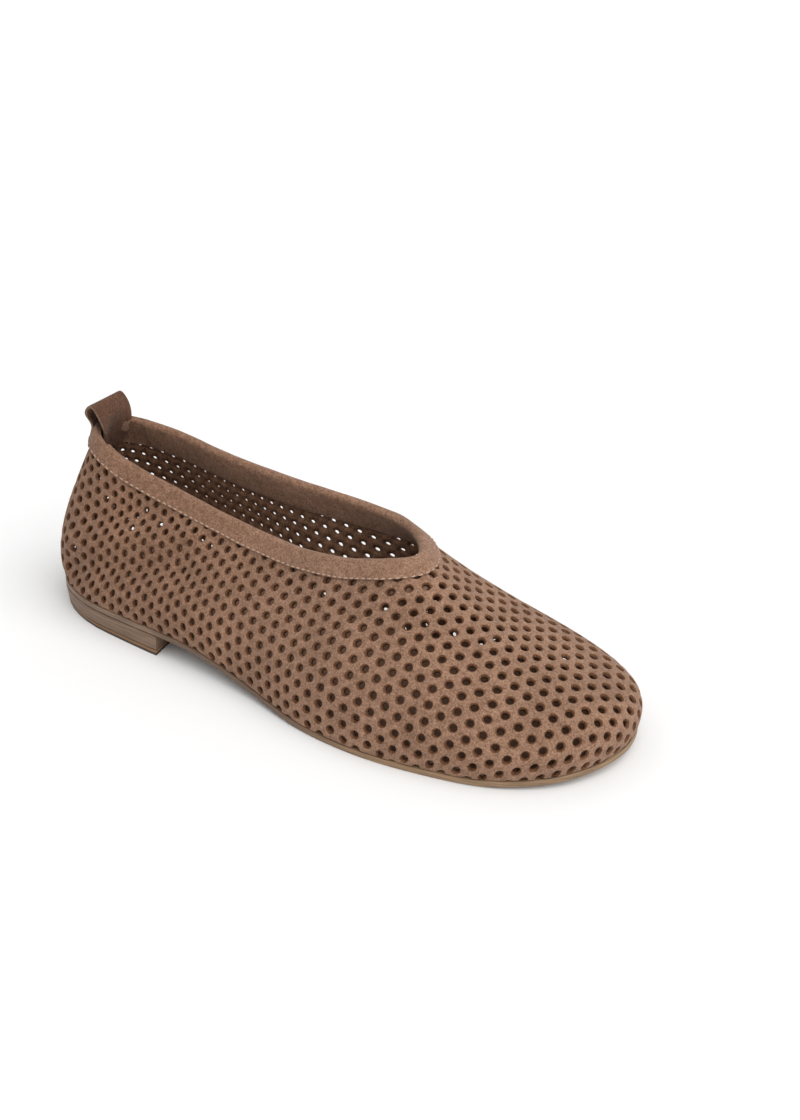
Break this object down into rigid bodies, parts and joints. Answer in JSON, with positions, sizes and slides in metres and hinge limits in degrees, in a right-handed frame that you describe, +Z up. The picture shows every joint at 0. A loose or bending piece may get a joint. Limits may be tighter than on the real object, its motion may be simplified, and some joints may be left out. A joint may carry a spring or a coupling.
{
  "type": "slip-on shoe",
  "caption": "Low slip-on shoe for the right foot: perforated unlined suede upper, bound collar, heel pull loop, thin leather sole and low stacked heel.",
  "frame": {"origin": "on the floor under the middle of the shoe", "axes": "+X to the toe, +Y to the inner side of the foot, +Z up"},
  "size_m": [0.2454, 0.086, 0.081],
  "materials": {
    "upper_suede": "brown suede, matte, soft nap, punched with staggered holes",
    "binding_suede": "brown suede binding, matte, fine nap",
    "loop_suede": "darker red-brown suede, matte",
    "insole_leather": "smooth brown leather, satin",
    "outsole_leather": "dark tan leather, waxed edge",
    "heel_leather": "grey-brown stacked leather, fine level grain",
    "top_piece": "dark brown rubber, matte"
  },
  "bodies": {
    "root": {"upper": "upper_suede", "collar_binding": "binding_suede", "pull_loop": "loop_suede", "insole": "insole_leather", "outsole": "outsole_leather", "heel_stack": "heel_leather", "heel_top_piece": "top_piece"}
  },
  "joints": []
}
